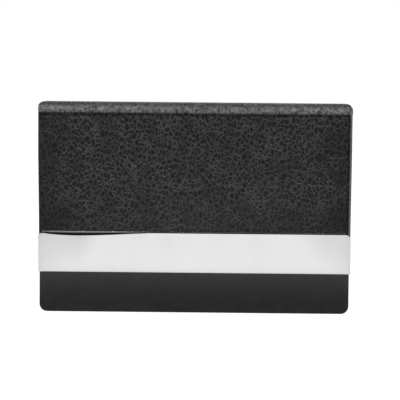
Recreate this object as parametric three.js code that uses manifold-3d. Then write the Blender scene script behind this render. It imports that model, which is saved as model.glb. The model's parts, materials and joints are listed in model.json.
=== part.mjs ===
// A business card case that opens at the front. A pressed steel tray holds the cards behind a
// low pocket faced in smooth leather. Grained leather covers the tray's back and top, rolls over
// the top front edge and carries on down the front as a flap. The roll is the flap's living
// hinge. Two magnets behind the polished band at the flap's free edge pull on two steel keepers
// under the pocket's leather.
//
// Millimetres, +X to the right, +Y to the back, +Z up. The origin is at the middle of the bottom.

import * as THREE from 'three';
import { mergeVertices } from 'three/addons/utils/BufferGeometryUtils.js';
import Module from 'manifold-3d';

const wasm = await Module();
wasm.setup();

// ---- driving dimensions -------------------------------------------------------------------

const CASE = { width: 95, depth: 14, height: 64, topCorner: 1.2 };
const FRONT = -CASE.depth / 2;
const BACK = CASE.depth / 2;
const GLUE = 0.05; // the film of glue between two layers
const ARC_STEPS = 10; // straight steps in each rounded corner

const LEATHER = 0.8;
const SHEET_STEEL = 0.5;
const TAPE = 0.3;

const ROLL = 3; // outer radius of the leather over the hinge
const BACK_ROUND = 2; // outer radius of the leather over the back top edge

const FLAP = { hem: 5.2, edge: 1, clearance: 0.25 }; // hem: leather turned in at each side
const BAND = { width: 94.55, bottom: 12.5, height: 12.4, thick: 0.55, corner: 1.6, edge: 0.4 };
const LIP = { thick: 0.4, height: 5.1 }; // the band's fold behind the flap

const POCKET = { width: 94.3, top: 34, corner: 2.4, leather: 0.7 };
const NOTCH = { z: 38, radius: 11 }; // the thumb notch in the pocket's top edge
const STEEL_SHOWS = 0.6; // the pocket's steel stands this far past its leather
const FLANGE = 3.6; // the pocket's side flanges

const TRAY = { width: 93.8, bottomCorner: 2.2, topCorner: 1 };

const MAGNET = { x: 28, z: 18.9, width: 15, height: 6 };
const KEEPER = { width: 16, height: 7 };

// ---- layers -------------------------------------------------------------------------------

// Gives each named layer its [near, far] distance from a face, with glue between the layers.
function layers(thicknesses) {
  const placed = {};
  let at = 0;
  for (const [name, thick] of Object.entries(thicknesses)) {
    placed[name] = [at, at + thick];
    at += thick + GLUE;
  }
  return placed;
}

const FLAP_STACK = layers({ leather: LEATHER, foam: 0.5, plate: 0.45, lining: 0.3 });
const POCKET_STACK = layers({ leather: POCKET.leather, foam: 0.5, plate: SHEET_STEEL });
const BACK_STACK = layers({ leather: LEATHER, board: 0.5, tray: SHEET_STEEL, lining: 0.35 });
const TOP_STACK = layers({ leather: LEATHER, tape: TAPE, tray: SHEET_STEEL });
const FLOOR_STACK = layers({ tray: SHEET_STEEL, lining: 0.4 });

const flapFace = FRONT + BAND.thick + GLUE; // outer face of the flap's leather
const flapInside = flapFace + FLAP_STACK.lining[1];
const pocketFace = flapInside + FLAP.clearance;

// A layer's [front, back] in y, or its [bottom, top] in z.
const inFlap = (layer) => layer.map((distance) => flapFace + distance);
const inPocket = (layer) => layer.map((distance) => pocketFace + distance);
const inBack = (layer) => layer.map((distance) => BACK - distance).reverse();
const inTop = (layer) => layer.map((distance) => CASE.height - distance).reverse();

const trayTop = inTop(TOP_STACK.tray)[1];
const rollCentre = { y: flapFace + ROLL, z: CASE.height - ROLL };

// The flap turns about a line inside the roll. It is placed so that the leather over the hinge,
// a quarter circle while the flap is shut, is just straight when the flap stands out level.
const foldRadius = ROLL - LEATHER / 2;
const hingeAxis = {
  y: rollCentre.y - (foldRadius * Math.PI) / 4,
  z: rollCentre.z + (foldRadius * Math.PI) / 4,
};

// ---- geometry helpers ---------------------------------------------------------------------

const AXIS = {
  x: new THREE.Vector3(1, 0, 0),
  y: new THREE.Vector3(0, 1, 0),
  z: new THREE.Vector3(0, 0, 1),
};

function extrude(shape, depth) {
  return new THREE.ExtrudeGeometry(shape, {
    depth,
    bevelEnabled: false,
    curveSegments: ARC_STEPS,
  });
}

// A plate whose outline is drawn in the front view, in x and z, from y = front to y = back.
function plate(outline, [front, back]) {
  return extrude(outline, back - front)
    .applyMatrix4(new THREE.Matrix4().makeBasis(AXIS.x, AXIS.z, AXIS.y.clone().negate()))
    .translate(0, back, 0);
}

// A bar along X, centred, whose section is drawn from the side, in y and z.
function bar(section, width) {
  return extrude(section, width)
    .applyMatrix4(new THREE.Matrix4().makeBasis(AXIS.y, AXIS.z, AXIS.x))
    .translate(-width / 2, 0, 0);
}

// A column whose section is drawn from above, in x and y.
function column(section, [bottom, top]) {
  return extrude(section, top - bottom).translate(0, 0, bottom);
}

function block([x0, x1], [y0, y1], [z0, z1]) {
  return new THREE.BoxGeometry(x1 - x0, y1 - y0, z1 - z0).translate(
    (x0 + x1) / 2,
    (y0 + y1) / 2,
    (z0 + z1) / 2,
  );
}

// A closed geometry as a solid that can be cut and joined.
function solid(geometry) {
  const bare = geometry.clone();
  bare.deleteAttribute('normal');
  bare.deleteAttribute('uv');
  const merged = mergeVertices(bare, 1e-4);
  return new wasm.Manifold(
    new wasm.Mesh({
      numProp: 3,
      vertProperties: merged.attributes.position.array,
      triVerts: new Uint32Array(merged.index.array),
    }),
  );
}

function geometryOf(made) {
  const { vertProperties, triVerts } = made.getMesh();
  const geometry = new THREE.BufferGeometry()
    .setAttribute('position', new THREE.BufferAttribute(vertProperties, 3))
    .setIndex(new THREE.BufferAttribute(triVerts, 1))
    .toNonIndexed();
  geometry.computeVertexNormals();
  return geometry;
}

// The first geometry with all the others cut away from it.
function cut(from, ...tools) {
  return geometryOf(tools.reduce((left, tool) => left.subtract(solid(tool)), solid(from)));
}

function common(first, second) {
  return geometryOf(solid(first).intersect(solid(second)));
}

// ---- outlines -----------------------------------------------------------------------------

// A rectangle, centred on x = 0, with its lower and its upper corners rounded.
function panel(width, bottom, top, lowRadius = 0, highRadius = 0) {
  const half = width / 2;
  const shape = new THREE.Shape();
  shape.moveTo(-half + lowRadius, bottom);
  shape.lineTo(half - lowRadius, bottom);
  if (lowRadius) {
    shape.absarc(half - lowRadius, bottom + lowRadius, lowRadius, -Math.PI / 2, 0);
  }
  shape.lineTo(half, top - highRadius);
  if (highRadius) {
    shape.absarc(half - highRadius, top - highRadius, highRadius, 0, Math.PI / 2);
  }
  shape.lineTo(-half + highRadius, top);
  if (highRadius) {
    shape.absarc(-half + highRadius, top - highRadius, highRadius, Math.PI / 2, Math.PI);
  }
  shape.lineTo(-half, bottom + lowRadius);
  if (lowRadius) {
    shape.absarc(-half + lowRadius, bottom + lowRadius, lowRadius, Math.PI, 1.5 * Math.PI);
  }
  return shape;
}

// The pocket's panel with its thumb notch, drawn inset from the leather's outer edge.
function pocketPanel(inset) {
  const half = POCKET.width / 2 - inset;
  const top = POCKET.top - inset;
  const corner = POCKET.corner - inset;
  const notch = NOTCH.radius + inset;
  const turn = Math.asin((NOTCH.z - top) / notch);
  const shape = new THREE.Shape();
  shape.moveTo(-half + corner, inset);
  shape.lineTo(half - corner, inset);
  shape.absarc(half - corner, inset + corner, corner, -Math.PI / 2, 0);
  shape.lineTo(half, top);
  shape.lineTo(notch * Math.cos(turn), top);
  shape.absarc(0, NOTCH.z, notch, -turn, -Math.PI + turn, true);
  shape.lineTo(-half, top);
  shape.lineTo(-half, inset + corner);
  shape.absarc(-half + corner, inset + corner, corner, Math.PI, 1.5 * Math.PI);
  return shape;
}

// From the side: forward along the top, over the roll and down the front. The two radii are
// taken about the middle of the roll.
function rollSection(outer, inner, rear = rollCentre.y, bottom = rollCentre.z) {
  const { y, z } = rollCentre;
  const shape = new THREE.Shape();
  shape.moveTo(rear, z + outer);
  if (rear > y) shape.lineTo(y, z + outer);
  shape.absarc(y, z, outer, Math.PI / 2, Math.PI);
  if (bottom < z) shape.lineTo(y - outer, bottom);
  shape.lineTo(y - inner, bottom);
  if (bottom < z) shape.lineTo(y - inner, z);
  shape.absarc(y, z, inner, Math.PI, Math.PI / 2, true);
  if (rear > y) shape.lineTo(rear, z + inner);
  return shape;
}

// ---- materials ----------------------------------------------------------------------------

const finish = (color, roughness, metalness) =>
  new THREE.MeshStandardMaterial({ color, roughness, metalness });

const grainLeather = finish(0x242424, 0.6, 0);
const smoothLeather = finish(0x2a2a2a, 0.55, 0);
const polishedSteel = finish(0xd9d9da, 0.08, 1);
const traySteel = finish(0xc6c7c9, 0.25, 1);
const microfibre = finish(0x1b1b1c, 0.95, 0);
const tapeCloth = finish(0x202021, 0.9, 0);
const foam = finish(0x3a3a3a, 0.95, 0);
const greyBoard = finish(0x6f6a60, 0.9, 0);
const plastic = finish(0x2c2d2f, 0.6, 0);
const nickel = finish(0xc4c3bf, 0.25, 1);

// ---- pieces of the body -------------------------------------------------------------------

const trayBack = inBack(BACK_STACK.tray);
const pocketSteel = inPocket(POCKET_STACK.plate);
const pocketPadding = inPocket(POCKET_STACK.foam);

// A pan pressed from one sheet, open at the front. Its sides are cut back for the pocket and
// stand forward above it, to meet the inside of the shut flap.
function trayShell() {
  const upperFront = pocketFace + GLUE;
  const round = rollCentre.y - upperFront;
  const step = POCKET.top + 2 * STEEL_SHOWS;
  const side = new THREE.Shape();
  side.moveTo(trayBack[1], 0);
  side.lineTo(trayBack[1], trayTop);
  side.lineTo(upperFront + round, trayTop);
  side.absarc(upperFront + round, trayTop - round, round, Math.PI / 2, Math.PI);
  side.lineTo(upperFront, step);
  side.lineTo(pocketSteel[0], step);
  side.lineTo(pocketSteel[0], 0);
  const outline = panel(TRAY.width, 0, trayTop, TRAY.bottomCorner, TRAY.topCorner);
  const room = panel(
    TRAY.width - 2 * SHEET_STEEL,
    SHEET_STEEL,
    trayTop - SHEET_STEEL,
    TRAY.bottomCorner - SHEET_STEEL,
    TRAY.topCorner - SHEET_STEEL,
  );
  const pan = common(plate(outline, [FRONT, trayBack[1]]), bar(side, CASE.width));
  return cut(pan, plate(room, [FRONT, trayBack[0]]));
}

// The pocket's front wall, with a flange at each side that is welded inside the tray.
function pocketPlate() {
  const bottom = SHEET_STEEL + GLUE;
  const top = POCKET.top + STEEL_SHOWS;
  const width = TRAY.width - 2 * bottom;
  const outline = panel(width, bottom, top, TRAY.bottomCorner - bottom);
  const wall = plate(outline, [pocketSteel[0], pocketSteel[1] + FLANGE]);
  const between = width / 2 - SHEET_STEEL;
  const room = block([-between, between], [pocketSteel[1], BACK], [0, CASE.height]);
  const radius = NOTCH.radius - STEEL_SHOWS;
  const notch = new THREE.CylinderGeometry(radius, radius, CASE.depth, 6 * ARC_STEPS);
  return cut(wall, room, notch.translate(0, 0, NOTCH.z));
}

// A leather skin turned round the padding's edges, on to the steel behind it.
function pocketLeather() {
  const skin = plate(pocketPanel(0), [pocketFace, pocketPadding[1]]);
  const room = plate(pocketPanel(POCKET.leather), [pocketPadding[0] - GLUE, BACK]);
  return cut(skin, room);
}

function keeper(side, room = 0) {
  const x = side * MAGNET.x;
  return block(
    [x - KEEPER.width / 2 - room, x + KEEPER.width / 2 + room],
    [pocketPadding[0] - room, pocketPadding[1] + room],
    [MAGNET.z - KEEPER.height / 2 - room, MAGNET.z + KEEPER.height / 2 + room],
  );
}

function pocketFoam() {
  const room = 2 * GLUE;
  const sheet = plate(pocketPanel(POCKET.leather + GLUE), pocketPadding);
  return cut(sheet, keeper(-1, room), keeper(1, room));
}

// Leather up the back, round the back top edge and forward to the roll.
function backLeather() {
  const y = BACK - BACK_ROUND;
  const z = CASE.height - BACK_ROUND;
  const front = rollCentre.y + GLUE;
  const section = new THREE.Shape();
  section.moveTo(BACK, 0);
  section.lineTo(BACK, z);
  section.absarc(y, z, BACK_ROUND, 0, Math.PI / 2);
  section.lineTo(front, CASE.height);
  section.lineTo(front, CASE.height - LEATHER);
  section.lineTo(y, CASE.height - LEATHER);
  section.absarc(y, z, BACK_ROUND - LEATHER, Math.PI / 2, 0, true);
  section.lineTo(BACK - LEATHER, 0);
  const outline = panel(CASE.width, 0, CASE.height, POCKET.corner, CASE.topCorner);
  return common(bar(section, CASE.width), plate(outline, [FRONT, BACK]));
}

function backBoard() {
  const { bottomCorner, width } = TRAY;
  const top = CASE.height - BACK_ROUND - GLUE;
  return plate(panel(width - 1, SHEET_STEEL, top, bottomCorner), inBack(BACK_STACK.board));
}

function hingeLeather() {
  const outline = panel(CASE.width, 0, CASE.height, 0, CASE.topCorner);
  return common(bar(rollSection(ROLL, ROLL - LEATHER), CASE.width), plate(outline, [FRONT, 0]));
}

const tapeFlapLeg = 3.5; // how far the tape runs down inside the flap
const tapeWidth = CASE.width - 2 * (LEATHER + GLUE) - 1;

// Cloth tape glued under the leather from the tray's top, through the roll and into the flap.
function hingeTape() {
  const outer = ROLL - TOP_STACK.tape[0];
  const rear = BACK - BACK_ROUND - GLUE;
  const section = rollSection(outer, outer - TAPE, rear, rollCentre.z - tapeFlapLeg);
  return bar(section, tapeWidth);
}

// ---- pieces of the flap -------------------------------------------------------------------

const flapTop = rollCentre.z - GLUE;
const bandTop = BAND.bottom + BAND.height;
const insideBand = BAND.bottom + BAND.thick + 2 * GLUE;
const coreWidth = CASE.width - 2 * (LEATHER + GLUE);
const coreBottom = bandTop + 2 * GLUE; // the carrier fills the flap below this
const liningBottom = BAND.bottom + LIP.height + 2 * GLUE;
const liningWidth = CASE.width - 2 * (LEATHER + FLAP.hem);

// The grained skin, turned round both side edges and in along them.
function flapLeather() {
  const face = inFlap(FLAP_STACK.leather);
  const lining = inFlap(FLAP_STACK.lining);
  const skin = column(
    panel(CASE.width, flapFace, flapInside, FLAP.edge, FLAP.edge),
    [insideBand, flapTop],
  );
  const core = panel(CASE.width - 2 * LEATHER, face[1], lining[0] - GLUE, GLUE, GLUE);
  const opening = panel(liningWidth + 2 * GLUE, face[1] + GLUE, 0);
  return cut(
    skin,
    column(core, [0, CASE.height]),
    column(opening, [0, CASE.height]),
    block([-CASE.width, CASE.width], [lining[0] - GLUE, 0], [0, liningBottom]),
  );
}

function flapLayer(width, layer, z) {
  return block([-width / 2, width / 2], inFlap(layer), z);
}

const carrierDepth = [FLAP_STACK.foam[0], FLAP_STACK.plate[1]];

function magnet(side, room = 0) {
  const x = side * MAGNET.x;
  const [front, back] = inFlap(carrierDepth);
  return block(
    [x - MAGNET.width / 2 - room, x + MAGNET.width / 2 + room],
    [front - room, back + room],
    [MAGNET.z - MAGNET.height / 2 - room, MAGNET.z + MAGNET.height / 2 + room],
  );
}

function magnetCarrier() {
  const room = 2 * GLUE;
  const strip = flapLayer(coreWidth, carrierDepth, [insideBand, coreBottom - GLUE]);
  return cut(strip, magnet(-1, room), magnet(1, room));
}

// The polished band: flat in front with rounded top corners, folded under the flap's free edge
// and up behind it.
function trimBand() {
  const { bottom, thick, edge } = BAND;
  const lip = flapFace + FLAP_STACK.lining[0];
  const rear = lip + LIP.thick;
  const section = new THREE.Shape();
  section.moveTo(FRONT + edge, bottom);
  section.lineTo(rear - edge, bottom);
  section.absarc(rear - edge, bottom + edge, edge, -Math.PI / 2, 0);
  section.lineTo(rear, bottom + LIP.height);
  section.lineTo(lip, bottom + LIP.height);
  section.lineTo(lip, bottom + thick);
  section.lineTo(FRONT + thick, bottom + thick);
  section.lineTo(FRONT + thick, CASE.height);
  section.lineTo(FRONT, CASE.height);
  section.lineTo(FRONT, bottom + edge);
  section.absarc(FRONT + edge, bottom + edge, edge, Math.PI, 1.5 * Math.PI);
  const face = panel(BAND.width, 0, bandTop, 0, BAND.corner);
  return common(bar(section, BAND.width), plate(face, [FRONT - 1, 0]));
}

// ---- assembly -----------------------------------------------------------------------------

const cardCase = new THREE.Group();
const body = new THREE.Group();
const flap = new THREE.Group();
flap.position.set(0, hingeAxis.y, hingeAxis.z); // turning the flap about -X opens it
cardCase.add(body, flap);

function addToBody(name, geometry, material) {
  const mesh = new THREE.Mesh(geometry, material);
  mesh.name = name;
  body.add(mesh);
}

// A piece of the flap hangs from the hinge's line, which is the flap group's origin.
function addToFlap(name, geometry, material) {
  const mesh = new THREE.Mesh(geometry, material);
  mesh.name = name;
  mesh.position.copy(flap.position).negate();
  flap.add(mesh);
}

const trayInside = TRAY.width / 2 - SHEET_STEEL - GLUE;
const backLining = inBack(BACK_STACK.lining);
const floorLining = FLOOR_STACK.lining;
const trayCeiling = trayTop - SHEET_STEEL;

addToBody('tray_shell', trayShell(), traySteel);
addToBody(
  'back_lining',
  plate(
    panel(
      2 * trayInside,
      floorLining[0],
      trayCeiling - GLUE,
      TRAY.bottomCorner,
      TRAY.topCorner,
    ),
    backLining,
  ),
  microfibre,
);
addToBody(
  'floor_lining',
  block(
    [-trayInside + TRAY.bottomCorner, trayInside - TRAY.bottomCorner],
    [pocketSteel[1] + GLUE, backLining[0] - GLUE],
    floorLining,
  ),
  microfibre,
);
addToBody('pocket_plate', pocketPlate(), traySteel);
addToBody('pocket_foam', pocketFoam(), foam);
addToBody('pocket_leather', pocketLeather(), smoothLeather);
addToBody('keeper_left', keeper(-1), nickel);
addToBody('keeper_right', keeper(1), nickel);
addToBody('back_board', backBoard(), greyBoard);
addToBody('back_leather', backLeather(), grainLeather);
addToBody('hinge_leather', hingeLeather(), grainLeather);
addToBody('hinge_tape', hingeTape(), tapeCloth);

const foamTop = rollCentre.z - tapeFlapLeg - GLUE;
addToFlap('flap_leather', flapLeather(), grainLeather);
addToFlap('flap_foam', flapLayer(coreWidth, FLAP_STACK.foam, [coreBottom, foamTop]), foam);
addToFlap('flap_plate', flapLayer(coreWidth, FLAP_STACK.plate, [coreBottom, flapTop]), nickel);
addToFlap(
  'flap_lining',
  flapLayer(liningWidth, FLAP_STACK.lining, [liningBottom, flapTop]),
  microfibre,
);
addToFlap('trim_band', trimBand(), polishedSteel);
addToFlap('magnet_carrier', magnetCarrier(), plastic);
addToFlap('magnet_left', magnet(-1), nickel);
addToFlap('magnet_right', magnet(1), nickel);

export default cardCase;
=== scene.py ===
"""Looks of a leather business card case: grained cover, smooth pocket, tray and polished band.

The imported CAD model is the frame. The grained cover is rebuilt as two lengths of hide: a fixed
back and top, and the flap's hide, which bends over the hinge. Most of the other pieces get eased
edges, and every surface gets its own finish.
Lengths are in metres, +X to the right, +Y to the back and +Z up.
"""

import sys

import json
import logging
import math
from dataclasses import dataclass, field
from enum import Enum
from typing import Callable, Iterable

import bmesh
import bpy
from mathutils import Matrix, Vector
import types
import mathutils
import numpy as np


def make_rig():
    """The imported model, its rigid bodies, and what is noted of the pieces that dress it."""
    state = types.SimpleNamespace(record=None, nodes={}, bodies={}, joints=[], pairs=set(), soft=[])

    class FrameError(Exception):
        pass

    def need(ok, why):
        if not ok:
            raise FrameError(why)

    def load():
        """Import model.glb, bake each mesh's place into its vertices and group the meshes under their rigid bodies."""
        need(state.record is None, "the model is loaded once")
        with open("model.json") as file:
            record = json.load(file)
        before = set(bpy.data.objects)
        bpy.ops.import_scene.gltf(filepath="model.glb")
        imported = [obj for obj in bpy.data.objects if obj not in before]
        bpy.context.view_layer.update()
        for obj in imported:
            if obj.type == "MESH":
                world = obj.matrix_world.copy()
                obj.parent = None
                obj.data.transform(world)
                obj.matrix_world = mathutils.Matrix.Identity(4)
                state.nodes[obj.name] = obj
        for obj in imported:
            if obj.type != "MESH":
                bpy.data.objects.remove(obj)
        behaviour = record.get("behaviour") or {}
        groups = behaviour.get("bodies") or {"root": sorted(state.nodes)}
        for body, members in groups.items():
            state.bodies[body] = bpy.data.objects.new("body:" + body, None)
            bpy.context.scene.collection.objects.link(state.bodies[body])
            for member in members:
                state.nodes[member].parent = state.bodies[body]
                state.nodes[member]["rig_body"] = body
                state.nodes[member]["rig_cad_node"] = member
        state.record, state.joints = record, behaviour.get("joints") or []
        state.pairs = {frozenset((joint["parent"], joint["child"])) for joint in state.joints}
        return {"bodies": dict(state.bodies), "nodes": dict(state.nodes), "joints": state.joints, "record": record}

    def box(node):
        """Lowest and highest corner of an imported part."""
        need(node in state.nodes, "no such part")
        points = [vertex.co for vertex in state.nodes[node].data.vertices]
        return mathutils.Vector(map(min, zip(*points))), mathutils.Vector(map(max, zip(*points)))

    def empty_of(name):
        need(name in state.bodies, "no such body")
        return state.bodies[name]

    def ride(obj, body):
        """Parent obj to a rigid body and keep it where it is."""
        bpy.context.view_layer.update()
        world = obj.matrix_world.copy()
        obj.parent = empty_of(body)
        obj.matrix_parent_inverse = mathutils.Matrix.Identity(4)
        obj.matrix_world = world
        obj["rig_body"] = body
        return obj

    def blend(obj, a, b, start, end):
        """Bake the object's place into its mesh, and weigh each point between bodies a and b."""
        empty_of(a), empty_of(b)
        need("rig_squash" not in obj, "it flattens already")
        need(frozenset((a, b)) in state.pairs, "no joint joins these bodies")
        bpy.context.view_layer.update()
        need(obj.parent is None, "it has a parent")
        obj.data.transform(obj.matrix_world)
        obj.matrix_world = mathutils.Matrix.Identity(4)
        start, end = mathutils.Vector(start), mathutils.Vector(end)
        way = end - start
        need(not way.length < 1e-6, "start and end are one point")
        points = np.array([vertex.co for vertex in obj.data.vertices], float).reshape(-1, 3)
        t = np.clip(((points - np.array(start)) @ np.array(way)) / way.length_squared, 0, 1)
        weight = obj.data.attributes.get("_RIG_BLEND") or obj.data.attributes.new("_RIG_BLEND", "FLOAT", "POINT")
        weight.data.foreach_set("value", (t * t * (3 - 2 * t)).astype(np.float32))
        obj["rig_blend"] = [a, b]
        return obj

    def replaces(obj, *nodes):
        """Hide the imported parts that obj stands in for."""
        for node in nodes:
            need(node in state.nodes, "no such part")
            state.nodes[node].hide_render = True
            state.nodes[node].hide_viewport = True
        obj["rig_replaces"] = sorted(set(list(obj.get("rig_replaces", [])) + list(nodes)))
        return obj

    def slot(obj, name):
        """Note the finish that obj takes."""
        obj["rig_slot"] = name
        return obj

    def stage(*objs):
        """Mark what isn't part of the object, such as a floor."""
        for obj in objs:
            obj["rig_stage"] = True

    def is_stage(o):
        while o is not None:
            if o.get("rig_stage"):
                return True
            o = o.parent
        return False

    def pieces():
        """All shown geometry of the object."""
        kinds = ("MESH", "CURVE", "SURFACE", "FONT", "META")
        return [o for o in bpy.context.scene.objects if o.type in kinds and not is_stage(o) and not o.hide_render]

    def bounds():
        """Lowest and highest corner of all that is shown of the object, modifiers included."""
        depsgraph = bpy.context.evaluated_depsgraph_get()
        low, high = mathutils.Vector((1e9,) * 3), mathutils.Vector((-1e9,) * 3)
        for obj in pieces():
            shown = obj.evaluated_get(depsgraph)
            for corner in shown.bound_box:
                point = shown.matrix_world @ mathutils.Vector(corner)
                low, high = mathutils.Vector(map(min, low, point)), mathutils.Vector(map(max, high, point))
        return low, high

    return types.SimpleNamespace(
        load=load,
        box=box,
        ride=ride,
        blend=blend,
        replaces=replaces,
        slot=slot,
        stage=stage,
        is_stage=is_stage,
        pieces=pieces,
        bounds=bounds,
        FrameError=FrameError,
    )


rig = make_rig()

log = logging.getLogger("card_case")
MM = 0.001
# Corners nearer than this are one corner.
WELD = 0.001 * MM
# How near a corner has to be to a cutting plane to lie on it.
CUT = 0.0001 * MM
# Edges that turn more than this are sharp enough to ease.
SHARP = math.radians(35)
# Each record node's name to the name of its object. main() fills it.
FRAME_NODES: dict[str, str] = {}


class Part(Enum):
    """The two rigid bodies of the case."""

    BODY = "body"
    FLAP = "flap"


class Slot(Enum):
    """The record's material slots that the rebuilt pieces take."""

    GRAIN_LEATHER = "grain_leather"
    SMOOTH_LEATHER = "smooth_leather"
    POLISHED_STEEL = "polished_steel"
    TRAY_STEEL = "tray_steel"
    MICROFIBRE = "microfibre"
    TAPE_CLOTH = "tape_cloth"


# ---- node trees ---------------------------------------------------------------------------


class Tree:
    """A short way to lay out a material's nodes."""

    def __init__(self, name: str) -> None:
        """Starts a material with only its shader and output.

        Args:
            name: The material's name.
        """
        self.material = bpy.data.materials.new(name)
        self.material.use_nodes = True
        self.nodes = self.material.node_tree.nodes
        self.links = self.material.node_tree.links
        self.shader = self.nodes["Principled BSDF"]

    def add(self, kind: str, inputs: dict | None = None, **settings) -> bpy.types.Node:
        """Adds a node.

        Args:
            kind: The node's type, without the ShaderNode prefix.
            inputs: Input name or number to a value, or to a socket to link from.
            settings: The node's own properties.

        Returns:
            The new node.
        """
        node = self.nodes.new("ShaderNode" + kind)
        for name, value in settings.items():
            setattr(node, name, value)
        for name, value in (inputs or {}).items():
            self.feed(node.inputs[name], value)
        return node

    def feed(self, socket: bpy.types.NodeSocket, value) -> None:
        """Sets a socket's value, or links another socket to it."""
        if isinstance(value, bpy.types.NodeSocket):
            self.links.new(value, socket)
        else:
            socket.default_value = value

    def math(self, operation: str, first, second=0.0, clamp: bool = False) -> bpy.types.NodeSocket:
        """Adds a Math node and returns its output."""
        node = self.add("Math", {0: first, 1: second}, operation=operation, use_clamp=clamp)
        return node.outputs[0]

    def span(self, value, low: float, high: float, to_low: float, to_high: float):
        """Maps a range smoothly on to another range, clamped at both ends.

        Args:
            value: The socket to map.
            low: Where the incoming range starts.
            high: Where the incoming range ends.
            to_low: The result at low.
            to_high: The result at high.

        Returns:
            The mapped socket.
        """
        node = self.add(
            "MapRange",
            {"Value": value, 1: low, 2: high, 3: to_low, 4: to_high},
            interpolation_type="SMOOTHSTEP",
        )
        return node.outputs["Result"]

    def tint(self, factor, dark: tuple, light: tuple) -> bpy.types.NodeSocket:
        """Blends between two linear colours by a factor."""
        return self.paint(factor, (*dark, 1.0), light)

    def paint(self, factor, under, colour: tuple) -> bpy.types.NodeSocket:
        """Lays a linear colour over what is there.

        Args:
            factor: How much of the colour covers.
            under: The colour with its alpha, or the socket, that it goes over.
            colour: The linear colour.

        Returns:
            The blended colour's socket.
        """
        inputs = {"Factor": factor, 6: under, 7: (*colour, 1.0)}
        return self.add("Mix", inputs, data_type="RGBA").outputs[2]

    def bump(self, height, distance: float, strength: float = 1.0, under=None):
        """Adds a bump, over another bump where there is one, and returns its normal."""
        inputs = {"Height": height, "Distance": distance, "Strength": strength}
        if under is not None:
            inputs["Normal"] = under
        return self.add("Bump", inputs).outputs["Normal"]

    def noise(self, vector, scale: float, detail: float = 2.0, roughness: float = 0.5):
        """Adds a noise texture and returns its value."""
        node = self.add(
            "TexNoise",
            {"Vector": vector, "Scale": scale, "Detail": detail, "Roughness": roughness},
        )
        return node.outputs["Fac"]

    def position(self) -> bpy.types.NodeSocket:
        """The point's place on the piece, in metres."""
        return self.add("TexCoord").outputs["Object"]

    def stretched(self, vector, scale: tuple, turn: float = 0.0) -> bpy.types.NodeSocket:
        """A place scaled along each axis, after a turn about Y in radians."""
        node = self.add(
            "Mapping", {"Vector": vector, "Scale": scale, "Rotation": (0.0, turn, 0.0)}
        )
        return node.outputs["Vector"]


# ---- finishes -----------------------------------------------------------------------------


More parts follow.
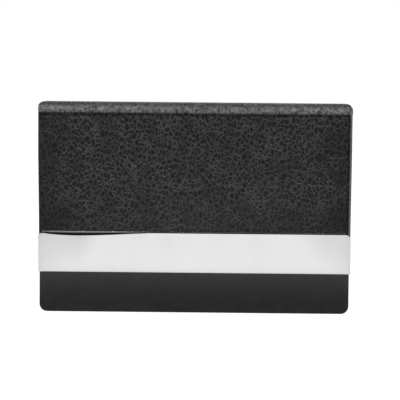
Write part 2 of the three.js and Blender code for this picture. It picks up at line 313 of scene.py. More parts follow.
@dataclass(frozen=True)
class PebbledLeather:
    """Black leather embossed with a pebble grain: small hollows in a net of fine raised lines, with painted shade in
    the hollows, a painted highlight on the lines, and painted light where the hide's point attribute asks for it.
    """

    name: str = "pebbled_leather"
    pebble: float = 1.4 * MM
    # Colours below: painted shade in the hollows, the leather's own black, and a painted highlight on the raised
    # lines.
    hollow: tuple = (0.0004, 0.0004, 0.0005)
    ground: tuple = (0.0020, 0.0020, 0.0021)
    crest_highlight: tuple = (0.0600, 0.0600, 0.0610)
    # Painted highlight: the pale colour laid on the roll, the crease and the lower flap.
    stretched: tuple = (0.1650, 0.1650, 0.1660)
    roughness: float = 0.4
    specular: float = 0.22
    relief: float = 0.24 * MM
    pore_relief: float = 0.02 * MM
    squeeze: tuple = (1.18, 0.85, 1.0)
    wander: float = 1.5
    wanders_per_pebble: float = 0.7
    fine_per_pebble: float = 1.9
    patches_per_pebble: float = 0.2
    pores_per_pebble: float = 5.0
    highlight_speckles_per_pebble: float = 1.1
    uv: str = "hide"
    strength: str = "grain"
    painted_light: str = "painted_light"

    def make(self) -> bpy.types.Material:
        """Builds the material on the piece's own unrolled coordinates."""
        t = Tree(self.name)
        flat = t.add("UVMap", uv_map=self.uv).outputs["UV"]
        place = t.add(
            "VectorMath", {0: flat, 1: self.squeeze}, operation="MULTIPLY"
        ).outputs["Vector"]
        pit, net = self.grain(t, place)
        height = t.math("SUBTRACT", net, pit)
        pores = t.span(
            t.noise(place, self.pores_per_pebble / self.pebble, 2.0), 0.3, 0.7, 0.0, 1.0
        )
        skin = t.bump(pores, self.pore_relief, 0.5)
        t.feed(t.shader.inputs["Normal"], t.bump(height, self.relief, 1.0, skin))
        # Painted shade in the hollows and a painted highlight on the raised lines.
        colour = t.paint(pit, t.tint(net, self.ground, self.crest_highlight), self.hollow)
        # Painted highlight and painted light, read from the hide's point attribute, speckled and kept out of the pits.
        painted_light_share = t.add("Attribute", attribute_name=self.painted_light).outputs["Fac"]
        highlight_speckle = t.span(
            t.noise(place, self.highlight_speckles_per_pebble / self.pebble, 3.0), 0.38, 0.62, 0.45, 1.0
        )
        out_of_pits = t.span(height, -0.9, 0.5, 0.3, 1.0)
        painted_light_share = t.math("MULTIPLY", t.math("MULTIPLY", painted_light_share, highlight_speckle), out_of_pits)
        t.feed(t.shader.inputs["Base Color"], t.paint(painted_light_share, colour, self.stretched))
        rough = t.span(height, -0.8, 0.8, self.roughness + 0.16, self.roughness - 0.05)
        t.feed(t.shader.inputs["Roughness"], rough)
        t.shader.inputs["Specular IOR Level"].default_value = self.specular
        return t.material

    def grain(self, t: Tree, place) -> tuple[bpy.types.NodeSocket, bpy.types.NodeSocket]:
        """Adds the embossing: uneven cells with a net of lines between them.

        Args:
            t: The material's nodes.
            place: The unrolled coordinates.

        Returns:
            How far a point is down in a hollow, and how far up on a raised line.
        """
        press = t.add("Attribute", attribute_name=self.strength).outputs["Fac"]
        wander = t.add(
            "TexNoise",
            {"Vector": place, "Scale": self.wanders_per_pebble / self.pebble, "Detail": 3.0},
        ).outputs["Color"]
        drift = t.add(
            "VectorMath", {0: wander, 1: (0.5, 0.5, 0.5)}, operation="SUBTRACT"
        ).outputs["Vector"]
        moved = t.add(
            "VectorMath",
            {0: drift, 1: (self.wander * self.pebble,) * 3, 2: place},
            operation="MULTIPLY_ADD",
        ).outputs["Vector"]
        cells = {"Vector": moved, "Scale": 1.0 / self.pebble, "Randomness": 1.0}
        edge = t.add("TexVoronoi", cells, feature="DISTANCE_TO_EDGE").outputs["Distance"]
        each = t.add("TexVoronoi", cells, feature="F1").outputs["Color"]
        own = t.add("SeparateColor", {0: each}).outputs[0]
        fine_cells = {**cells, "Scale": self.fine_per_pebble / self.pebble}
        fine = t.add("TexVoronoi", fine_cells, feature="DISTANCE_TO_EDGE").outputs["Distance"]
        sunk = t.span(edge, 0.16, 0.36, 0.0, 1.0)
        pit = t.math("MULTIPLY", sunk, t.span(own, 0.0, 0.8, 0.3, 1.0))
        net = t.math(
            "ADD",
            t.math("MULTIPLY", t.span(edge, 0.0, 0.15, 1.0, 0.0), 0.8),
            t.math("MULTIPLY", t.span(fine, 0.0, 0.12, 1.0, 0.0), 0.2),
        )
        patch = t.span(
            t.noise(place, self.patches_per_pebble / self.pebble, 3.0), 0.3, 0.7, 0.5, 1.0
        )
        pressed = t.math("MULTIPLY", patch, press)
        return t.math("MULTIPLY", pit, pressed), t.math("MULTIPLY", net, pressed)


@dataclass(frozen=True)
class SmoothLeather:
    """Black leather with hardly any grain, with painted light and shade: darker at the bottom, palest some 13 mm up,
    and darker again below the flap's edge.
    """

    name: str = "smooth_leather"
    dark: tuple = (0.0040, 0.0040, 0.0041)
    light: tuple = (0.0480, 0.0480, 0.0485)
    # Heights of the painted light and shade: where it starts, where it is palest, and where the painted shade below
    # the flap is deepest.
    painted_light_low: float = 2.0 * MM
    painted_light_peak: float = 13.0 * MM
    painted_shade_end: float = 20.8 * MM
    roughness: float = 0.5
    specular: float = 0.25
    mottle_scale: float = 260.0
    mottle_relief: float = 0.05 * MM
    pore_scale: float = 2600.0
    pore_relief: float = 0.012 * MM

    def make(self) -> bpy.types.Material:
        """Builds the material."""
        t = Tree(self.name)
        place = t.position()
        mottle = t.noise(place, self.mottle_scale, 4.0, 0.6)
        pores = t.add(
            "TexVoronoi", {"Vector": place, "Scale": self.pore_scale}, feature="F1"
        ).outputs["Distance"]
        soft = t.bump(mottle, self.mottle_relief, 0.5)
        t.feed(t.shader.inputs["Normal"], t.bump(pores, self.pore_relief, 0.6, soft))
        height = t.add("SeparateXYZ", {0: place}).outputs[2]
        # Painted light and shade over height: darkest at the bottom and again under the flap.
        painted_light_rise = t.span(height, self.painted_light_low, self.painted_light_peak, 0.0, 0.85)
        painted_shade_below_flap = t.span(height, self.painted_light_peak, self.painted_shade_end, 1.0, 0.15)
        painted_light_and_shade = t.math("MULTIPLY", painted_light_rise, painted_shade_below_flap)
        shade = t.math("ADD", t.span(mottle, 0.3, 0.7, 0.0, 0.15), painted_light_and_shade)
        t.feed(t.shader.inputs["Base Color"], t.tint(shade, self.dark, self.light))
        rough = t.span(mottle, 0.3, 0.7, self.roughness - 0.04, self.roughness + 0.05)
        t.feed(t.shader.inputs["Roughness"], rough)
        t.shader.inputs["Specular IOR Level"].default_value = self.specular
        return t.material


@dataclass(frozen=True)
class Steel:
    """Stainless steel. Brushing is drawn along X; hairlines are the odd fine scratches."""

    name: str
    colour: tuple = (0.80, 0.80, 0.805)
    roughness: float = 0.1
    brushed: float = 0.0
    hairlines: float = 0.25
    brushing: tuple = (60.0, 9000.0, 9000.0)
    scratching: tuple = (150.0, 2500.0, 11000.0)
    scratch_turn: float = 0.5
    smudge_scale: float = 90.0
    darkest: float = 0.94

    def make(self) -> bpy.types.Material:
        """Builds the material."""
        t = Tree(self.name)
        place = t.position()
        grain = t.noise(t.stretched(place, self.brushing), 1.0, 3.0, 0.6)
        smudge = t.noise(place, self.smudge_scale, 3.0, 0.55)
        scratch = t.noise(t.stretched(place, self.scratching, self.scratch_turn), 1.0, 1.0)
        lines = t.span(scratch, 0.71, 0.78, 0.0, self.hairlines)
        normal = t.bump(lines, 0.003 * MM, 0.6)
        if self.brushed:
            normal = t.bump(grain, 0.004 * MM, self.brushed, normal)
        t.feed(t.shader.inputs["Normal"], normal)
        film = t.span(smudge, 0.35, 0.75, 0.0, 0.05)
        rub = t.math("MULTIPLY", t.span(grain, 0.3, 0.7, 0.0, 0.12), self.brushed)
        rough = t.math("ADD", t.math("ADD", film, rub), self.roughness)
        scored = t.math("MULTIPLY", lines, 0.3)
        t.feed(t.shader.inputs["Roughness"], t.math("ADD", rough, scored))
        darker = tuple(self.darkest * c for c in self.colour)
        t.feed(t.shader.inputs["Base Color"], t.tint(smudge, self.colour, darker))
        t.shader.inputs["Metallic"].default_value = 1.0
        return t.material


@dataclass(frozen=True)
class Nap:
    """Short black microfibre: a fuzzy pile with brushed patches."""

    name: str = "microfibre"
    dark: tuple = (0.008, 0.008, 0.009)
    light: tuple = (0.026, 0.026, 0.028)
    roughness: float = 0.95
    sheen: float = 0.35
    pile_scale: float = 4200.0
    pile_relief: float = 0.05 * MM
    brushing: tuple = (70.0, 70.0, 160.0)

    def make(self) -> bpy.types.Material:
        """Builds the material."""
        t = Tree(self.name)
        place = t.position()
        pile = t.noise(place, self.pile_scale, 3.0, 0.7)
        brushed = t.noise(t.stretched(place, self.brushing), 1.0, 3.0)
        t.feed(t.shader.inputs["Normal"], t.bump(pile, self.pile_relief, 0.8))
        shade = t.math("MULTIPLY", pile, t.span(brushed, 0.3, 0.7, 0.6, 1.2))
        t.feed(t.shader.inputs["Base Color"], t.tint(shade, self.dark, self.light))
        t.shader.inputs["Roughness"].default_value = self.roughness
        t.shader.inputs["Specular IOR Level"].default_value = 0.2
        t.shader.inputs["Sheen Weight"].default_value = self.sheen
        t.shader.inputs["Sheen Roughness"].default_value = 0.5
        return t.material


@dataclass(frozen=True)
class Woven:
    """Plain woven black tape."""

    name: str = "woven_tape"
    dark: tuple = (0.006, 0.006, 0.007)
    light: tuple = (0.022, 0.022, 0.023)
    roughness: float = 0.85
    thread: float = 0.32 * MM
    weave_relief: float = 0.06 * MM

    def make(self) -> bpy.types.Material:
        """Builds the material from two crossed sets of waves."""
        t = Tree(self.name)
        place = t.position()
        waves = []
        for direction in ("X", "Z"):
            wave = t.add(
                "TexWave",
                {"Vector": place, "Scale": 0.31 / self.thread, "Distortion": 0.4},
                bands_direction=direction,
            )
            waves.append(wave.outputs["Fac"])
        weave = t.math("MULTIPLY", waves[0], waves[1])
        t.feed(t.shader.inputs["Normal"], t.bump(weave, self.weave_relief, 0.8))
        t.feed(t.shader.inputs["Base Color"], t.tint(weave, self.dark, self.light))
        t.shader.inputs["Roughness"].default_value = self.roughness
        return t.material


@dataclass(frozen=True)
class Plain:
    """Board, foam or moulded plastic that is hidden or hardly seen: speckled and matt."""

    name: str
    dark: tuple
    light: tuple
    grain: float = 900.0
    relief: float = 0.04 * MM
    roughness: float = 0.85

    def make(self) -> bpy.types.Material:
        """Builds the material."""
        t = Tree(self.name)
        speck = t.noise(t.position(), self.grain, 4.0, 0.65)
        t.feed(t.shader.inputs["Normal"], t.bump(speck, self.relief, 0.7))
        t.feed(t.shader.inputs["Base Color"], t.tint(speck, self.dark, self.light))
        rough = t.span(speck, 0.3, 0.7, self.roughness - 0.06, self.roughness + 0.06)
        t.feed(t.shader.inputs["Roughness"], rough)
        return t.material


# ---- mesh helpers -------------------------------------------------------------------------


def clamped(value: float) -> float:
    """A value kept between 0 and 1."""
    return min(1.0, max(0.0, value))


def smooth_by_angle(bm: bmesh.types.BMesh, degrees: float = 32.0) -> None:
    """Smooths every face and keeps the edges that turn more than an angle sharp.

    Args:
        bm: The mesh.
        degrees: The largest turn that is smoothed over.
    """
    limit = math.radians(degrees)
    for face in bm.faces:
        face.smooth = True
    for edge in bm.edges:
        edge.smooth = len(edge.link_faces) == 2 and edge.calc_face_angle(0.0) < limit


def add_object(name: str, data: bpy.types.ID) -> bpy.types.Object:
    """Puts a new object into the scene.

    Args:
        name: The object's name.
        data: Its mesh, light or camera.

    Returns:
        The new object.
    """
    new = bpy.data.objects.new(name, data)
    bpy.context.scene.collection.objects.link(new)
    return new


def place_piece(
    bm: bmesh.types.BMesh, name: str, material: bpy.types.Material, slot: Slot
) -> bpy.types.Object:
    """Turns a finished bmesh into an object at the origin.

    Args:
        bm: The mesh, which is freed.
        name: The piece's name.
        material: Its finish.
        slot: The record's material slot that the finish belongs to.

    Returns:
        The new object.
    """
    mesh = bpy.data.meshes.new(name)
    bm.to_mesh(mesh)
    bm.free()
    piece = add_object(name, mesh)
    mesh.materials.append(material)
    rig.slot(piece, slot.value)
    return piece


def merged_copy(node: bpy.types.Object) -> bmesh.types.BMesh:
    """A CAD node's mesh as a clean bmesh: corners merged and flat faces whole.

    Args:
        node: The CAD node, which is left alone.

    Returns:
        The new bmesh.
    """
    bm = bmesh.new()
    bm.from_mesh(node.data)
    bmesh.ops.remove_doubles(bm, verts=bm.verts, dist=WELD)
    bmesh.ops.dissolve_limit(
        bm, angle_limit=math.radians(0.5), verts=bm.verts, edges=bm.edges
    )
    return bm


def cut_along(bm: bmesh.types.BMesh, normal: Vector, at: float) -> None:
    """Cuts a mesh's faces where a plane crosses them, and keeps both sides.

    Args:
        bm: The mesh.
        normal: The plane's normal.
        at: How far along the normal the plane is from the origin.
    """
    geometry = bm.verts[:] + bm.edges[:] + bm.faces[:]
    bmesh.ops.bisect_plane(bm, geom=geometry, dist=CUT, plane_co=normal * at, plane_no=normal)


def ease_edges(
    bm: bmesh.types.BMesh,
    width: float,
    segments: int,
    chosen: Callable[[bmesh.types.BMEdge], bool] = lambda edge: True,
) -> None:
    """Rounds a solid's sharp edges.

    Args:
        bm: The mesh.
        width: How far the rounding reaches from each edge.
        segments: Steps across the rounding.
        chosen: Which of the sharp edges are rounded.
    """
    sharp = [
        e
        for e in bm.edges
        if len(e.link_faces) == 2 and e.calc_face_angle(0.0) > SHARP and chosen(e)
    ]
    bmesh.ops.bevel(
        bm,
        geom=sharp,
        offset=width,
        offset_type="OFFSET",
        segments=segments,
        profile=0.5,
        affect="EDGES",
        clamp_overlap=True,
        material=-1,
    )


# ---- the grained cover --------------------------------------------------------------------


@dataclass
class GrainedCover:
    """The hide over the back, the top and the flap, which is the hinge between them."""

    finish: PebbledLeather = field(default_factory=PebbledLeather)
    thick: float = 0.8 * MM
    overlap: float = 0.02 * MM
    roll: float = 3.0 * MM
    back_round: float = 2.0 * MM
    corner_round: float = 1.2 * MM
    foot_round: float = 2.4 * MM
    edge_round: float = 0.75 * MM
    taper_left: float = 0.34 * MM
    taper_right: float = 0.12 * MM
    crease_depth: float = 0.12 * MM
    crease_sharpness: float = 0.09
    roll_swell: float = 0.3 * MM
    fine_length: float = 4.0 * MM
    columns: int = 170
    corner_steps: int = 5
    edge_grain: float = 0.45
    low_grain: float = 0.6
    # How strong the painted highlight on the roll and the painted light on the lower flap are.
    roll_highlight: float = 0.85
    flap_painted_light: float = 0.075

    def __post_init__(self) -> None:
        """Reads the cover's place from the CAD nodes."""
        low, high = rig.box("back_leather")
        flap_low, flap_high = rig.box("flap_leather")
        self.half = high.x
        self.back = high.y
        self.top = high.z
        self.face = flap_low.y
        self.flap_depth = flap_high.y - flap_low.y
        self.bottom = low.z
        self.flap_end = flap_low.z
        self.crease = self.top - self.roll
        self.band_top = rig.box("trim_band")[1].z

    def path(self) -> list[tuple[Vector, Vector, float]]:
        """The outer line of the hide, from the back's lower edge to the flap's free edge.

        Returns:
            For each station its point, its inward direction and the length so far. Points and
            directions have x = 0.
        """
        inner = self.back - self.back_round
        front = self.face + self.roll
        corner_z = self.top - self.back_round
        stations: list[tuple[Vector, Vector]] = []

        def straight(start: Vector, end: Vector, inward: Vector, step: float) -> None:
            count = max(1, round((end - start).length / step))
            for i in range(count):
                stations.append((start.lerp(end, i / count), inward))

        def bend(centre: Vector, radius: float, begin: float, count: int) -> None:
            for i in range(count):
                angle = begin + math.pi / 2 * i / count
                out = Vector((0, math.cos(angle), math.sin(angle)))
                stations.append((centre + radius * out, -out))

        straight(
            Vector((0, self.back, self.bottom)),
            Vector((0, self.back, corner_z)),
            Vector((0, -1, 0)),
            0.9 * MM,
        )
        bend(Vector((0, inner, corner_z)), self.back_round, 0.0, 10)
        straight(
            Vector((0, inner, self.top)),
            Vector((0, front, self.top)),
            Vector((0, 0, -1)),
            0.5 * MM,
        )
        bend(Vector((0, front, self.crease)), self.roll, math.pi / 2, 18)
        inward = Vector((0, 1, 0))
        crease = Vector((0, self.face, self.crease))
        coarse = Vector((0, self.face, self.crease - self.fine_length))
        end = Vector((0, self.face, self.flap_end))
        straight(crease, coarse, inward, 0.2 * MM)
        straight(coarse, end, inward, 0.45 * MM)
        stations.append((end, inward))
        run = 0.0
        out = []
        for i, (point, inward) in enumerate(stations):
            if i:
                run += (point - stations[i - 1][0]).length
            out.append((point, inward, run))
        return out

    def relief(self, point: Vector) -> float:
        """How far the hide is pushed in at a station: it swells over the roll and steps in below.

        The step is 0.25 mm below the crease. The set-in line is 0.55 mm below it.
        """
        if point.y >= self.face + self.roll:
            return 0.0
        above = (point.z - self.crease) / MM
        round_roll = clamped(1 - above * MM / self.roll)
        swell = self.roll_swell * math.sin(math.pi * round_roll / 2) ** 2
        step = 1 / (1 + math.exp(-(above + 0.25) / self.crease_sharpness))
        set_in = self.crease_depth * math.exp(-(((above + 0.55) / 0.5) ** 2))
        return set_in * (1 - step) - swell * step

    def grain_at(self, point: Vector) -> float:
        """How deep the grain is pressed: less along the edges, over the roll and by the band."""
        in_from_side = min(1.0, (self.half - abs(point.x)) / (12 * MM))
        strength = self.edge_grain + (1 - self.edge_grain) * in_from_side
        if point.y < self.face + self.roll:
            above_band = clamped((point.z - self.band_top) / (14 * MM))
            strength *= self.low_grain + (1 - self.low_grain) * above_band
        return strength

    def painted_light_at(self, point: Vector) -> float:
        """How much painted light the hide takes: a painted highlight round the roll and along the crease, and paler
        painted light on the flap towards the band.
        """
        if point.y > self.face + self.roll:
            return 0.0
        above = (point.z - self.crease) / MM
        if above < -1:
            # Painted light on the flap: paler towards the band and towards the middle.
            painted_light_by_band = clamped((self.band_top + 22 * MM - point.z) / (20 * MM))
            return self.flap_painted_light * painted_light_by_band * min(1.0, (self.half - abs(point.x)) / (25 * MM))
        if above < 0:
            return math.exp(-((above / 0.18) ** 2))
        past_front = max(0.0, above - 1.1)
        return max(0.0, self.roll_highlight - 0.7 * past_front)

    def side(self, point: Vector, sign: int) -> float:
        """How far the hide reaches to one side at a station.

        The top corners and the back's lower corners are rounded, and the flap tapers downwards.

        Args:
            point: The station.
            sign: -1 for the left side and 1 for the right.

        Returns:
            The distance from the middle to that side.
        """

        def rounded_off(radius: float, along: float) -> float:
            return radius - math.sqrt(max(0.0, radius**2 - (radius - along) ** 2))

        half = self.half
        down = self.top - point.z
        if down < self.corner_round:
            half -= rounded_off(self.corner_round, down)
        if point.y > 0 and point.z < self.foot_round:
            half -= rounded_off(self.foot_round, point.z)
        if point.y < self.face + 0.5 * self.roll:
            taper = clamped((self.crease - 8 * MM - point.z) / (30 * MM))
            most = self.taper_left if sign < 0 else self.taper_right
            half -= most * taper * taper * (3 - 2 * taper)
        return half

    def depth(self, point: Vector) -> float:
        """How deep the hide's side reaches: one layer, or the whole flap where it is turned in."""
        if point.y < self.face + 0.5 * self.roll:
            share = clamped((self.crease + 0.6 * MM - point.z) / (1.2 * MM))
            return self.thick + (self.flap_depth - self.thick) * share + self.overlap
        return self.thick + self.overlap

    def section(self, left: float, right: float, depth: float) -> list[tuple[float, float]]:
        """The closed outline across the hide at one station.

        The left outer edge is rounded. Along the right one a narrow groove, about 1 mm in from the
        edge, and then a slope stand in for the rounding.

        Args:
            left: Half width on the left.
            right: Half width on the right.
            depth: How deep the turned sides reach.

        Returns:
            Pairs of x and depth below the face, once round.
        """
        radius = min(self.edge_round, 0.45 * depth + 0.1 * MM)
        small = 0.12 * MM
        inner_x = self.thick
        line: list[tuple[float, float]] = []
        for i in range(1, self.columns):
            share = i / self.columns
            line.append((-left + radius + share * (left + right - 2 * radius), 0.0))
        turns = [math.pi / 2 * i / self.corner_steps for i in range(self.corner_steps + 1)]
        for turn in reversed(turns):
            angle = math.pi / 2 + turn
            line.append(
                (right - radius + radius * math.cos(angle), radius - radius * math.sin(angle))
            )
        line.append((right, depth - small))
        line.append((right - small, depth))
        line.append((right - inner_x + small, depth))
        line.append((right - inner_x, depth - small * 0.1))
        line.append((right - inner_x, self.thick))
        inner_columns = self.columns // 4
        for i in range(1, inner_columns):
            share = i / inner_columns
            line.append((right - inner_x - share * (left + right - 2 * inner_x), self.thick))
        line.append((-left + inner_x, self.thick))
        line.append((-left + inner_x, depth - small * 0.1))
        line.append((-left + inner_x - small, depth))
        line.append((-left + small, depth))
        line.append((-left, depth - small))
        for turn in turns:
            line.append(
                (-left + radius - radius * math.cos(turn), radius - radius * math.sin(turn))
            )
        return line

    def loft(self, name: str, stations: list[tuple[Vector, Vector, float]]) -> bpy.types.Object:
        """Lofts one length of the hide and dresses it.

        Args:
            name: The new piece's name.
            stations: The stretch of the path that it covers.

        Returns:
            The new piece.
        """
        bm = bmesh.new()
        uv_layer = bm.loops.layers.uv.new(self.finish.uv)
        places: dict[bmesh.types.BMVert, tuple[float, float]] = {}
        loops: list[list[bmesh.types.BMEdge]] = []
        for point, inward, run in stations:
            push = self.relief(point)
            outline = self.section(self.side(point, -1), self.side(point, 1), self.depth(point))
            ring = []
            for x, d in outline:
                shallow = max(0.0, 1.0 - d / self.thick)
                where = point + inward * (d + push * (0.35 + 0.65 * shallow))
                vert = bm.verts.new((x, where.y, where.z))
                over = max(0.0, abs(x) - (self.half - self.edge_round))
                places[vert] = (x + math.copysign(0.6 * d + 0.1 * over, x), run)
                ring.append(vert)
            edges = [bm.edges.new((a, b)) for a, b in zip(ring, ring[1:] + ring[:1])]
            if loops:
                bmesh.ops.bridge_loops(bm, edges=loops[-1] + edges)
            loops.append(edges)
        bmesh.ops.edgeloop_fill(bm, edges=loops[0])
        bmesh.ops.edgeloop_fill(bm, edges=loops[-1])
        log.info("%s: %d rings of %d corners", name, len(loops), len(loops[0]))
        bmesh.ops.recalc_face_normals(bm, faces=bm.faces)
        for face in bm.faces:
            for loop in face.loops:
                loop[uv_layer].uv = places[loop.vert]
        # Two point attributes: how deep the grain is pressed, and the painted highlight and painted light.
        press = bm.verts.layers.float.new(self.finish.strength)
        painted_light = bm.verts.layers.float.new(self.finish.painted_light)
        for vert in bm.verts:
            vert[press] = self.grain_at(vert.co)
            vert[painted_light] = self.painted_light_at(vert.co)
        smooth_by_angle(bm, 50.0)
        return place_piece(bm, name, self.finish.make(), Slot.GRAIN_LEATHER)

    def build(self) -> bpy.types.Object:
        """Makes the fixed back and top, and the flap's hide that bends at the roll.

        Returns:
            The flap's hide.
        """
        stations = self.path()
        front = self.face + self.roll
        meet = next(i for i, (at, _, _) in enumerate(stations) if at.y < front + WELD)
        fixed = self.loft("back_cover", stations[: meet + 1])
        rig.ride(fixed, Part.BODY.value)
        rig.replaces(fixed, "back_leather")
        moving = self.loft("flap_cover", stations[meet:])
        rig.replaces(moving, "hinge_leather", "flap_leather")
        start, end = self.bend_ends()
        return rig.blend(moving, Part.BODY.value, Part.FLAP.value, start, end)

    def bend_ends(self) -> tuple[tuple, tuple]:
        """Where the bend over the hinge starts, on the body, and where it ends, on the flap."""
        start = (0.0, self.face + self.roll, self.top)
        end = (0.0, self.face + 0.3 * MM, self.crease + 0.15 * MM)
        return start, end


# ---- the pocket, the tray and the flap's fittings ------------------------------------------


def eased_copy(
    name: str,
    node: str,
    part: Part,
    slot: Slot,
    material: bpy.types.Material,
    width: float,
    segments: int = 3,
    chosen: Callable[[bmesh.types.BMEdge], bool] = lambda edge: True,
) -> bpy.types.Object:
    """Rebuilds a CAD node with its sharp edges eased, in its own finish, and puts it in its place.

    Args:
        name: The new piece's name.
        node: The CAD node it stands for.
        part: The body it moves with.
        slot: The record's material slot.
        material: Its finish.
        width: How far the easing reaches from each edge.
        segments: Steps across each eased edge.
        chosen: Which of the sharp edges are eased.

    Returns:
        The new piece.
    """
    bm = merged_copy(bpy.data.objects[FRAME_NODES[node]])
    ease_edges(bm, width, segments, chosen)
    smooth_by_angle(bm)
    piece = place_piece(bm, name, material, slot)
    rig.ride(piece, part.value)
    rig.replaces(piece, node)
    return piece


@dataclass
class CardPocket:
    """The low front pocket: a smooth leather skin over steel, with a thumb notch."""

    leather: SmoothLeather = field(default_factory=SmoothLeather)
    steel: Steel = field(
        default_factory=lambda: Steel("pocket_steel", (0.70, 0.70, 0.71), 0.2, 0.7)
    )
    soft_edge: float = 0.42 * MM
    crown: float = 0.22 * MM
    crown_rise: float = 7.0 * MM

    def skin(self) -> bpy.types.Object:
        """The leather skin, swelled a little by the padding behind it."""
        low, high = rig.box("pocket_leather")
        bm = merged_copy(bpy.data.objects[FRAME_NODES["pocket_leather"]])
        face = low.y

        def on_face(edge: bmesh.types.BMEdge) -> bool:
            return all(abs(v.co.y - face) < 0.01 * MM for v in edge.verts)

        ease_edges(bm, self.soft_edge, 5, on_face)
        for axis, positions in (("x", 30), ("z", 12)):
            start = getattr(low, axis)
            span = getattr(high, axis) - start
            normal = Vector((1, 0, 0)) if axis == "x" else Vector((0, 0, 1))
            for i in range(1, positions):
                cut_along(bm, normal, start + span * i / positions)
        for vert in bm.verts:
            if vert.co.y > face + WELD:
                continue
            inset = min(high.x - abs(vert.co.x), vert.co.z - low.z, high.z - vert.co.z)
            share = clamped((inset - self.soft_edge) / self.crown_rise)
            vert.co.y -= self.crown * (1 - (1 - share) ** 2)
        smooth_by_angle(bm, 40.0)
        piece = place_piece(bm, "pocket_skin", self.leather.make(), Slot.SMOOTH_LEATHER)
        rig.ride(piece, Part.BODY.value)
        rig.replaces(piece, "pocket_leather")
        return piece

    def wall(self) -> bpy.types.Object:
        """The steel wall behind the skin."""
        return eased_copy(
            "pocket_wall",
            "pocket_plate",
            Part.BODY,
            Slot.TRAY_STEEL,
            self.steel.make(),
            0.1 * MM,
        )


@dataclass
class SteelTray:
    """The pressed pan that holds the cards, with its two linings."""

    steel: Steel = field(
        default_factory=lambda: Steel("tray_steel", (0.72, 0.72, 0.73), 0.17, 0.6)
    )
    nap: Nap = field(default_factory=Nap)

    def pan(self) -> bpy.types.Object:
        """The pan, with its cut edges eased."""
        return eased_copy(
            "tray_pan", "tray_shell", Part.BODY, Slot.TRAY_STEEL, self.steel.make(), 0.11 * MM
        )

    def linings(self) -> Iterable[bpy.types.Object]:
        """The microfibre on the tray's back and floor."""
        nap = self.nap.make()
        for name, node in (("back_nap", "back_lining"), ("floor_nap", "floor_lining")):
            yield eased_copy(name, node, Part.BODY, Slot.MICROFIBRE, nap, 0.09 * MM)


@dataclass
class FlapFittings:
    """What the flap carries besides its leather: the band, the turned hems and the lining."""

    band_steel: Steel = field(
        default_factory=lambda: Steel("band_steel", (0.61, 0.61, 0.615), 0.07, 0.0, 0.2)
    )
    leather: PebbledLeather = field(default_factory=PebbledLeather)
    nap: Nap = field(default_factory=lambda: Nap("flap_microfibre"))
    band_edge: float = 0.24 * MM
    band_columns: int = 60
    least_round: float = 0.3 * MM
    extra_round: float = 1.1 * MM
    hem_width: float = 5.1 * MM
    hem_thick: float = 0.28 * MM
    hem_grain: float = 0.7

    def top_round(self, x: float) -> float:
        """How far down the band's top edge is rounded over: most towards its left end."""
        share = clamped((x + 46.8 * MM) / (36 * MM))
        return self.least_round + self.extra_round * math.sin(math.pi * share**0.6) ** 1.3

    def band(self) -> bpy.types.Object:
        """The polished band, with softened edges that catch the light."""
        low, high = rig.box("trim_band")
        bm = merged_copy(bpy.data.objects[FRAME_NODES["trim_band"]])

        def on_face(edge: bmesh.types.BMEdge) -> bool:
            return all(v.co.y < low.y + 0.01 * MM for v in edge.verts)

        ease_edges(bm, self.band_edge, 5, on_face)
        width = high.x - low.x
        for i in range(1, self.band_columns):
            cut_along(bm, Vector((1, 0, 0)), low.x + width * i / self.band_columns)
        for i in range(1, 12):
            cut_along(bm, Vector((0, 0, 1)), high.z - self.band_edge - 0.1 * i * MM)
        for vert in bm.verts:
            reach = self.top_round(vert.co.x)
            down = high.z - vert.co.z
            if vert.co.y < low.y + 0.3 * MM and down < reach:
                vert.co.y += 0.26 * reach * (1 - down / reach) ** 2
        smooth_by_angle(bm, 30.0)
        piece = place_piece(bm, "polished_band", self.band_steel.make(), Slot.POLISHED_STEEL)
        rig.ride(piece, Part.FLAP.value)
        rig.replaces(piece, "trim_band")
        return piece

    def hems(self, hide: bpy.types.Material) -> Iterable[bpy.types.Object]:
        """The leather turned in along the flap's two sides, which stands for no CAD node.

        Args:
            hide: The cover's finish.
        """
        _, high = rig.box("flap_leather")
        lining_low, lining_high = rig.box("flap_lining")
        outer = high.x - 1.2 * MM
        inner = outer - self.hem_width + 0.5 * MM
        height = lining_high.z - lining_low.z
        for name, sign in (("left_hem", -1), ("right_hem", 1)):
            bm = bmesh.new()
            bmesh.ops.create_cube(bm, size=1.0)
            bmesh.ops.scale(bm, vec=(outer - inner, self.hem_thick, height), verts=bm.verts)
            centre = Vector(
                (sign * (outer + inner) / 2, high.y - self.hem_thick / 2, lining_low.z + height / 2)
            )
            bmesh.ops.translate(bm, vec=centre, verts=bm.verts)
            ease_edges(bm, 0.1 * MM, 3)
            uv_layer = bm.loops.layers.uv.new(self.leather.uv)
            for face in bm.faces:
                for loop in face.loops:
                    loop[uv_layer].uv = (loop.vert.co.x, loop.vert.co.z + 0.3)
            press = bm.verts.layers.float.new(self.leather.strength)
            for vert in bm.verts:
                vert[press] = self.hem_grain
            smooth_by_angle(bm)
            piece = place_piece(bm, name, hide, Slot.GRAIN_LEATHER)
            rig.ride(piece, Part.FLAP.value)
            yield piece

    def lining(self) -> bpy.types.Object:
        """The microfibre on the inside of the flap."""
        return eased_copy(
            "flap_nap", "flap_lining", Part.FLAP, Slot.MICROFIBRE, self.nap.make(), 0.09 * MM
        )


@dataclass
class HingeTape:
    """The cloth tape under the roll, which bends with it."""

    cloth: Woven = field(default_factory=Woven)

    def build(self, cover: GrainedCover) -> bpy.types.Object:
        """Rebuilds the tape so that it bends over the hinge.

        Args:
            cover: The grained cover, whose roll the tape follows.

        Returns:
            The tape.
        """
        bm = bmesh.new()
        bm.from_mesh(bpy.data.objects[FRAME_NODES["hinge_tape"]].data)
        bmesh.ops.remove_doubles(bm, verts=bm.verts, dist=WELD)
        smooth_by_angle(bm)
        piece = place_piece(bm, "roll_tape", self.cloth.make(), Slot.TAPE_CLOTH)
        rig.replaces(piece, "hinge_tape")
        start, end = cover.bend_ends()
        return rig.blend(piece, Part.BODY.value, Part.FLAP.value, start, end)


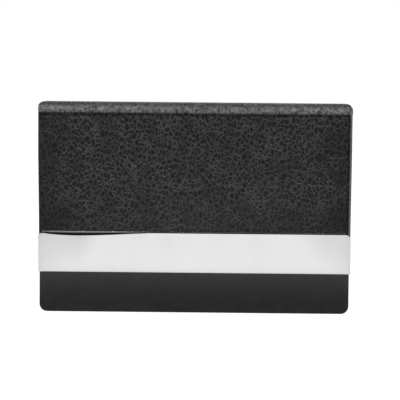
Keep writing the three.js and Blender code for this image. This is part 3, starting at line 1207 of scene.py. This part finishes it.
@dataclass
class InnerParts:
    """The layers that the leather hides."""

    def dress(self) -> None:
        """Gives each hidden CAD node its finish."""
        foam = Plain("foam_sheet", (0.02, 0.02, 0.02), (0.05, 0.05, 0.05), 1500.0).make()
        board = Plain("grey_board", (0.12, 0.11, 0.095), (0.2, 0.185, 0.16), 700.0).make()
        plastic = Plain(
            "moulded_plastic", (0.018, 0.019, 0.02), (0.03, 0.031, 0.033), 2200.0, 0.01 * MM, 0.6
        ).make()
        nickel = Steel("nickel_plate", (0.60, 0.585, 0.555), 0.28, 0.4).make()
        finishes = {
            "pocket_foam": foam,
            "flap_foam": foam,
            "back_board": board,
            "magnet_carrier": plastic,
            "keeper_left": nickel,
            "keeper_right": nickel,
            "flap_plate": nickel,
            "magnet_left": nickel,
            "magnet_right": nickel,
        }
        for node, material in finishes.items():
            mesh = bpy.data.objects[FRAME_NODES[node]].data
            mesh.materials.clear()
            mesh.materials.append(material)
            log.info("%s dressed in %s", node, material.name)


# ---- studio -------------------------------------------------------------------------------


@dataclass
class Studio:
    """A glowing pale table, the light round it, a soft box overhead and the camera."""

    azimuth: float = math.radians(0.29)
    elevation: float = math.radians(4.08)
    distance: float = 0.5222
    roll: float = math.radians(0.549)
    focal: float = 153.6
    aim: Vector = field(default_factory=lambda: Vector((0.00155, 0.0, 0.03422)))
    front_light: float = 0.012
    sky_light: float = 0.42
    table_glow: float = 1.0
    centre_glow: float = 0.25
    side_glow: float = 0.02
    table_half: float = 4.0
    table_drop: float = 0.02 * MM
    glow_ahead: tuple = (-0.11, -0.06)
    glow_aside: tuple = (0.035, 0.07)
    glow_near: tuple = (-1.1, -0.45)
    face_fade: tuple = (-0.55, -0.05)
    sky_fade: tuple = (0.45, 0.75)

    def camera(self) -> None:
        """Sets the camera square to the face, a little above it."""
        flat = math.cos(self.elevation)
        back = Vector(
            (
                math.sin(self.azimuth) * flat,
                -math.cos(self.azimuth) * flat,
                math.sin(self.elevation),
            )
        )
        right = (-back).cross(Vector((0, 0, 1))).normalized()
        up = right.cross(-back)
        tilt_right = right * math.cos(self.roll) + up * math.sin(self.roll)
        tilt_up = -right * math.sin(self.roll) + up * math.cos(self.roll)
        data = bpy.data.cameras.new("camera")
        data.lens = self.focal
        data.sensor_width = 36.0
        data.clip_start = 0.01
        data.clip_end = 20.0
        camera = add_object("camera", data)
        turn = Matrix((tilt_right, tilt_up, back)).transposed().to_4x4()
        camera.matrix_world = Matrix.Translation(self.aim + back * self.distance) @ turn
        bpy.context.scene.camera = camera

    def table(self) -> None:
        """A glowing table top, brighter ahead of the case's middle and dim far in front."""
        bm = bmesh.new()
        bmesh.ops.create_grid(bm, x_segments=1, y_segments=1, size=self.table_half)
        bmesh.ops.translate(bm, vec=(0, 0, -self.table_drop), verts=bm.verts)
        mesh = bpy.data.meshes.new("table_top")
        bm.to_mesh(mesh)
        bm.free()
        table = add_object("table_top", mesh)
        t = Tree("pale_table")
        t.shader.inputs["Base Color"].default_value = (0.05, 0.05, 0.05, 1.0)
        t.shader.inputs["Roughness"].default_value = 0.8
        t.shader.inputs["Specular IOR Level"].default_value = 0.1
        t.shader.inputs["Emission Color"].default_value = (1.0, 1.0, 1.0, 1.0)
        place = t.add("SeparateXYZ", {0: t.position()})
        ahead = t.span(place.outputs[1], *self.glow_ahead, 1.0, 0.0)
        aside = t.span(t.math("ABSOLUTE", place.outputs[0]), *self.glow_aside, 0.0, 1.0)
        sideways = t.span(aside, 0.0, 1.0, self.centre_glow, self.side_glow)
        extra = t.math("MULTIPLY", sideways, ahead)
        near = t.span(place.outputs[1], *self.glow_near, 0.1, 1.0)
        glow = t.math("MULTIPLY", t.math("ADD", extra, self.table_glow), near)
        t.feed(t.shader.inputs["Emission Strength"], glow)
        mesh.materials.append(t.material)
        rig.stage(table)

    def box(self, name: str, place: tuple, size: tuple, power: float, target: tuple) -> None:
        """Adds a soft box.

        Args:
            name: The light's name.
            place: Where it hangs.
            size: Its width and height.
            power: Its power in watts.
            target: The point it faces.
        """
        data = bpy.data.lights.new(name, "AREA")
        data.shape = "RECTANGLE"
        data.size, data.size_y = size
        data.energy = power
        light = add_object(name, data)
        light.location = place
        facing = Vector(target) - Vector(place)
        light.rotation_euler = facing.to_track_quat("-Z", "Y").to_euler()

    def room(self) -> None:
        """White surroundings: dim on the side the case's face looks at, except high overhead."""
        world = bpy.data.worlds.new("white_room")
        bpy.context.scene.world = world
        world.use_nodes = True
        nodes, links = world.node_tree.nodes, world.node_tree.links
        direction = nodes.new("ShaderNodeTexCoord")
        parts = nodes.new("ShaderNodeSeparateXYZ")
        fade = nodes.new("ShaderNodeMapRange")
        fade.inputs["From Min"].default_value = self.face_fade[0]
        fade.inputs["From Max"].default_value = self.face_fade[1]
        fade.inputs["To Min"].default_value = self.front_light
        fade.inputs["To Max"].default_value = 1.0
        above = nodes.new("ShaderNodeMapRange")
        above.inputs["From Min"].default_value = self.sky_fade[0]
        above.inputs["From Max"].default_value = self.sky_fade[1]
        above.inputs["To Max"].default_value = self.sky_light
        brighter = nodes.new("ShaderNodeMath")
        brighter.operation = "MAXIMUM"
        links.new(direction.outputs["Generated"], parts.inputs[0])
        links.new(parts.outputs["Y"], fade.inputs["Value"])
        links.new(parts.outputs["Z"], above.inputs["Value"])
        links.new(fade.outputs["Result"], brighter.inputs[0])
        links.new(above.outputs["Result"], brighter.inputs[1])
        links.new(brighter.outputs[0], nodes["Background"].inputs["Strength"])
        nodes["Background"].inputs["Color"].default_value = (1.0, 1.0, 1.0, 1.0)

    def build(self) -> None:
        """Sets up the whole studio."""
        self.camera()
        self.table()
        self.room()
        self.box("overhead", (0.0, -0.2, 0.62), (0.9, 0.14), 6.0, (0, 0, 0.05))
        scene = bpy.context.scene
        scene.view_settings.view_transform = "Standard"
        scene.view_settings.look = "None"
        log.info("studio ready")


def main() -> None:
    """Builds the case, its studio and its camera."""
    logging.basicConfig(level=logging.INFO, format="%(name)s: %(message)s", stream=sys.stdout)
    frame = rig.load()
    cad_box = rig.bounds()
    FRAME_NODES.update({name: node.name for name, node in frame["nodes"].items()})
    Studio().build()
    cover = GrainedCover()
    hide = cover.build()
    log.info("%s: %d faces", hide.name, len(hide.data.polygons))
    pocket = CardPocket()
    tray = SteelTray()
    fittings = FlapFittings()
    pieces = [
        pocket.skin(),
        pocket.wall(),
        tray.pan(),
        *tray.linings(),
        fittings.band(),
        *fittings.hems(hide.data.materials[0]),
        fittings.lining(),
        HingeTape().build(cover),
    ]
    for piece in pieces:
        log.info("%s: %d faces", piece.name, len(piece.data.polygons))
    InnerParts().dress()
    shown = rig.bounds()
    with open("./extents.json", "w") as out:
        json.dump({"cad": [list(c) for c in cad_box], "visual": [list(c) for c in shown]}, out)


if __name__ == "__main__":
    main()
